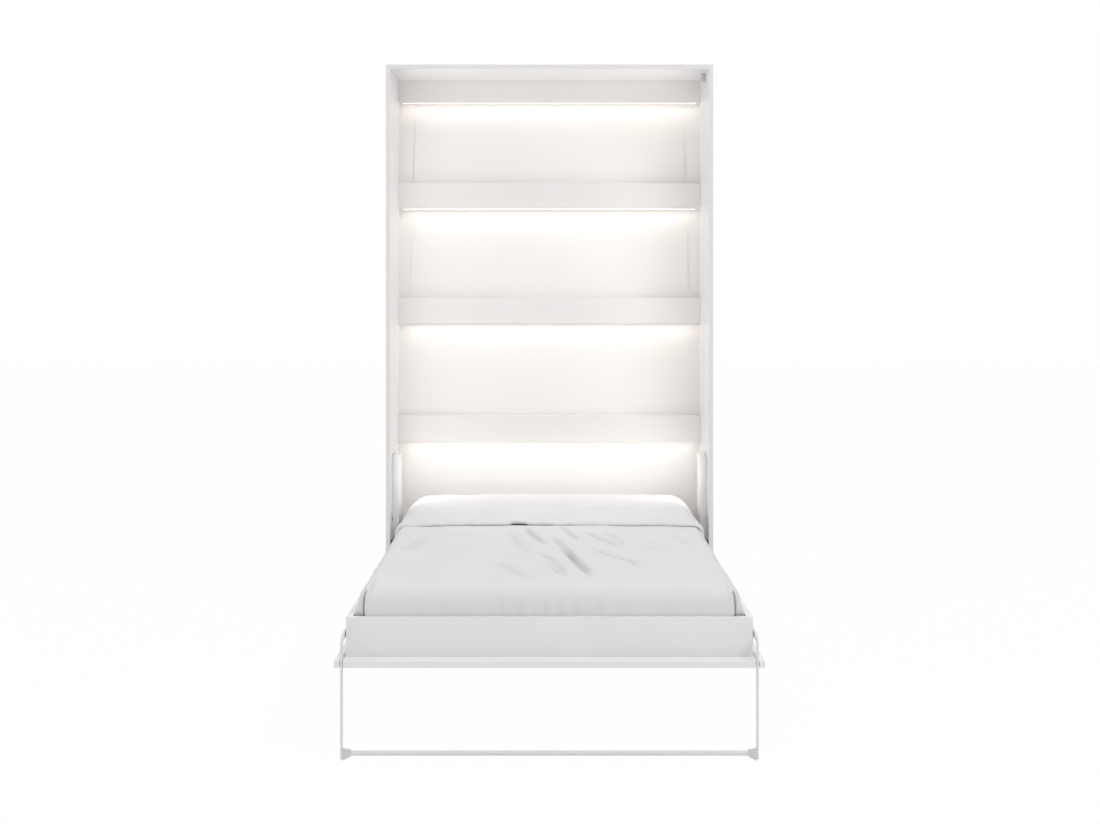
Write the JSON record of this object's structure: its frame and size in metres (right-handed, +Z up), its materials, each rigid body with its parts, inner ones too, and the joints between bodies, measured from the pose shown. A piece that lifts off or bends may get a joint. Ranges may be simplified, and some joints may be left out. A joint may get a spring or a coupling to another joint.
{
  "type": "wall bed",
  "caption": "Vertical fold-down wall bed: lit open cabinet, gas-sprung bed with slatted base, mattress and bedding, and a fold-out leg under the foot.",
  "frame": {"origin": "on the floor, in the middle of the box round the lowered bed and its cabinet", "axes": "+Z up, +Y from the bed's foot towards the wall, X along the wall"},
  "size_m": [1.245, 2.206, 2.185],
  "materials": {
    "white_laminate": "semi-gloss white melamine on particle board",
    "gloss_laminate": "high-gloss white laminate on particle board",
    "white_steel": "white powder coat, satin",
    "black_steel": "black powder coat, fine texture",
    "zinc_steel": "bright zinc plate",
    "polished_rod": "polished",
    "aluminium_profile": "natural anodised",
    "opal_diffuser": "opal acrylic, lit warm white",
    "grey_plastic": "fine moulded",
    "black_plastic": "fine moulded",
    "beech": "clear lacquered laminated beech",
    "mattress_cover": "knitted cover",
    "white_cotton": "smooth woven cotton"
  },
  "bodies": {
    "cabinet": {"side_panel_left": "white_laminate", "side_panel_right": "white_laminate", "top_panel": "white_laminate", "back_panel": "gloss_laminate", "crossbar_1": "gloss_laminate", "crossbar_2": "gloss_laminate", "crossbar_3": "gloss_laminate", "crossbar_4": "gloss_laminate", "crossbar_5": "gloss_laminate", "crossbar_ledges": "white_laminate", "cabinet_glides": "black_plastic", "wall_angles": "zinc_steel", "led_channel_1": "aluminium_profile", "led_diffuser_1": "opal_diffuser", "led_channel_2": "aluminium_profile", "led_diffuser_2": "opal_diffuser", "led_channel_3": "aluminium_profile", "led_diffuser_3": "opal_diffuser", "led_channel_4": "aluminium_profile", "led_diffuser_4": "opal_diffuser", "led_sensor": "grey_plastic", "led_driver": "grey_plastic", "hinge_plate_left": "black_steel", "pivot_pin_left": "zinc_steel", "spring_stud_left": "zinc_steel", "mechanism_cover_left": "white_steel", "hinge_plate_right": "black_steel", "pivot_pin_right": "zinc_steel", "spring_stud_right": "zinc_steel", "mechanism_cover_right": "white_steel"},
    "bed": {"front_panel": "white_laminate", "foot_board": "white_laminate", "head_board": "white_laminate", "side_rail_left": "white_laminate", "side_rail_right": "white_laminate", "pivot_bracket_left": "black_steel", "pivot_bracket_right": "black_steel", "pivot_bushing_left": "black_plastic", "pivot_bushing_right": "black_plastic", "spring_link_stud_left": "zinc_steel", "spring_link_stud_right": "zinc_steel", "leg_pivot_bolts": "zinc_steel", "slat_rails": "beech", "slats": "beech", "slat_caps": "black_plastic", "mattress": "mattress_cover", "duvet": "white_cotton", "pillow": "white_cotton", "duvet_fold": "white_cotton"},
    "leg": {"leg_arm_left": "white_steel", "leg_arm_right": "white_steel", "leg_crossbar": "white_steel", "leg_feet": "grey_plastic"},
    "spring_left": {"gas_cylinder_left": "black_steel"},
    "spring_right": {"gas_cylinder_right": "black_steel"},
    "rod_left": {"gas_rod_left": "polished_rod"},
    "rod_right": {"gas_rod_right": "polished_rod"}
  },
  "joints": [
    {"name": "bed_fold", "type": "hinge", "parent": "cabinet", "child": "bed", "pos_m": [0, 0.728, 0.335], "axis": [-1, 0, 0], "range_deg": [0, 90]},
    {"name": "leg_fold", "type": "hinge", "parent": "bed", "child": "leg", "pos_m": [0, -0.98, 0.339], "axis": [1, 0, 0], "range_deg": [0, 90]},
    {"name": "spring_swing_left", "type": "hinge", "parent": "cabinet", "child": "spring_left", "pos_m": [-0.59275, 0.873, 0.66], "axis": [-1, 0, 0], "range_deg": [0, 10.96]},
    {"name": "spring_stroke_left", "type": "slide", "parent": "spring_left", "child": "rod_left", "axis": [0, -0.1372, -0.9905], "range_m": [0, 0.12096]},
    {"name": "spring_swing_right", "type": "hinge", "parent": "cabinet", "child": "spring_right", "pos_m": [0.59275, 0.873, 0.66], "axis": [-1, 0, 0], "range_deg": [0, 10.96]},
    {"name": "spring_stroke_right", "type": "slide", "parent": "spring_right", "child": "rod_right", "axis": [0, -0.1372, -0.9905], "range_m": [0, 0.12096]}
  ],
  "couplings": [
    {"joint": "spring_swing_left", "follows": "bed_fold", "ratio": 0.12173},
    {"joint": "spring_stroke_left", "follows": "bed_fold", "m_per_rad": 0.077},
    {"joint": "spring_swing_right", "follows": "bed_fold", "ratio": 0.12173},
    {"joint": "spring_stroke_right", "follows": "bed_fold", "m_per_rad": 0.077}
  ]
}
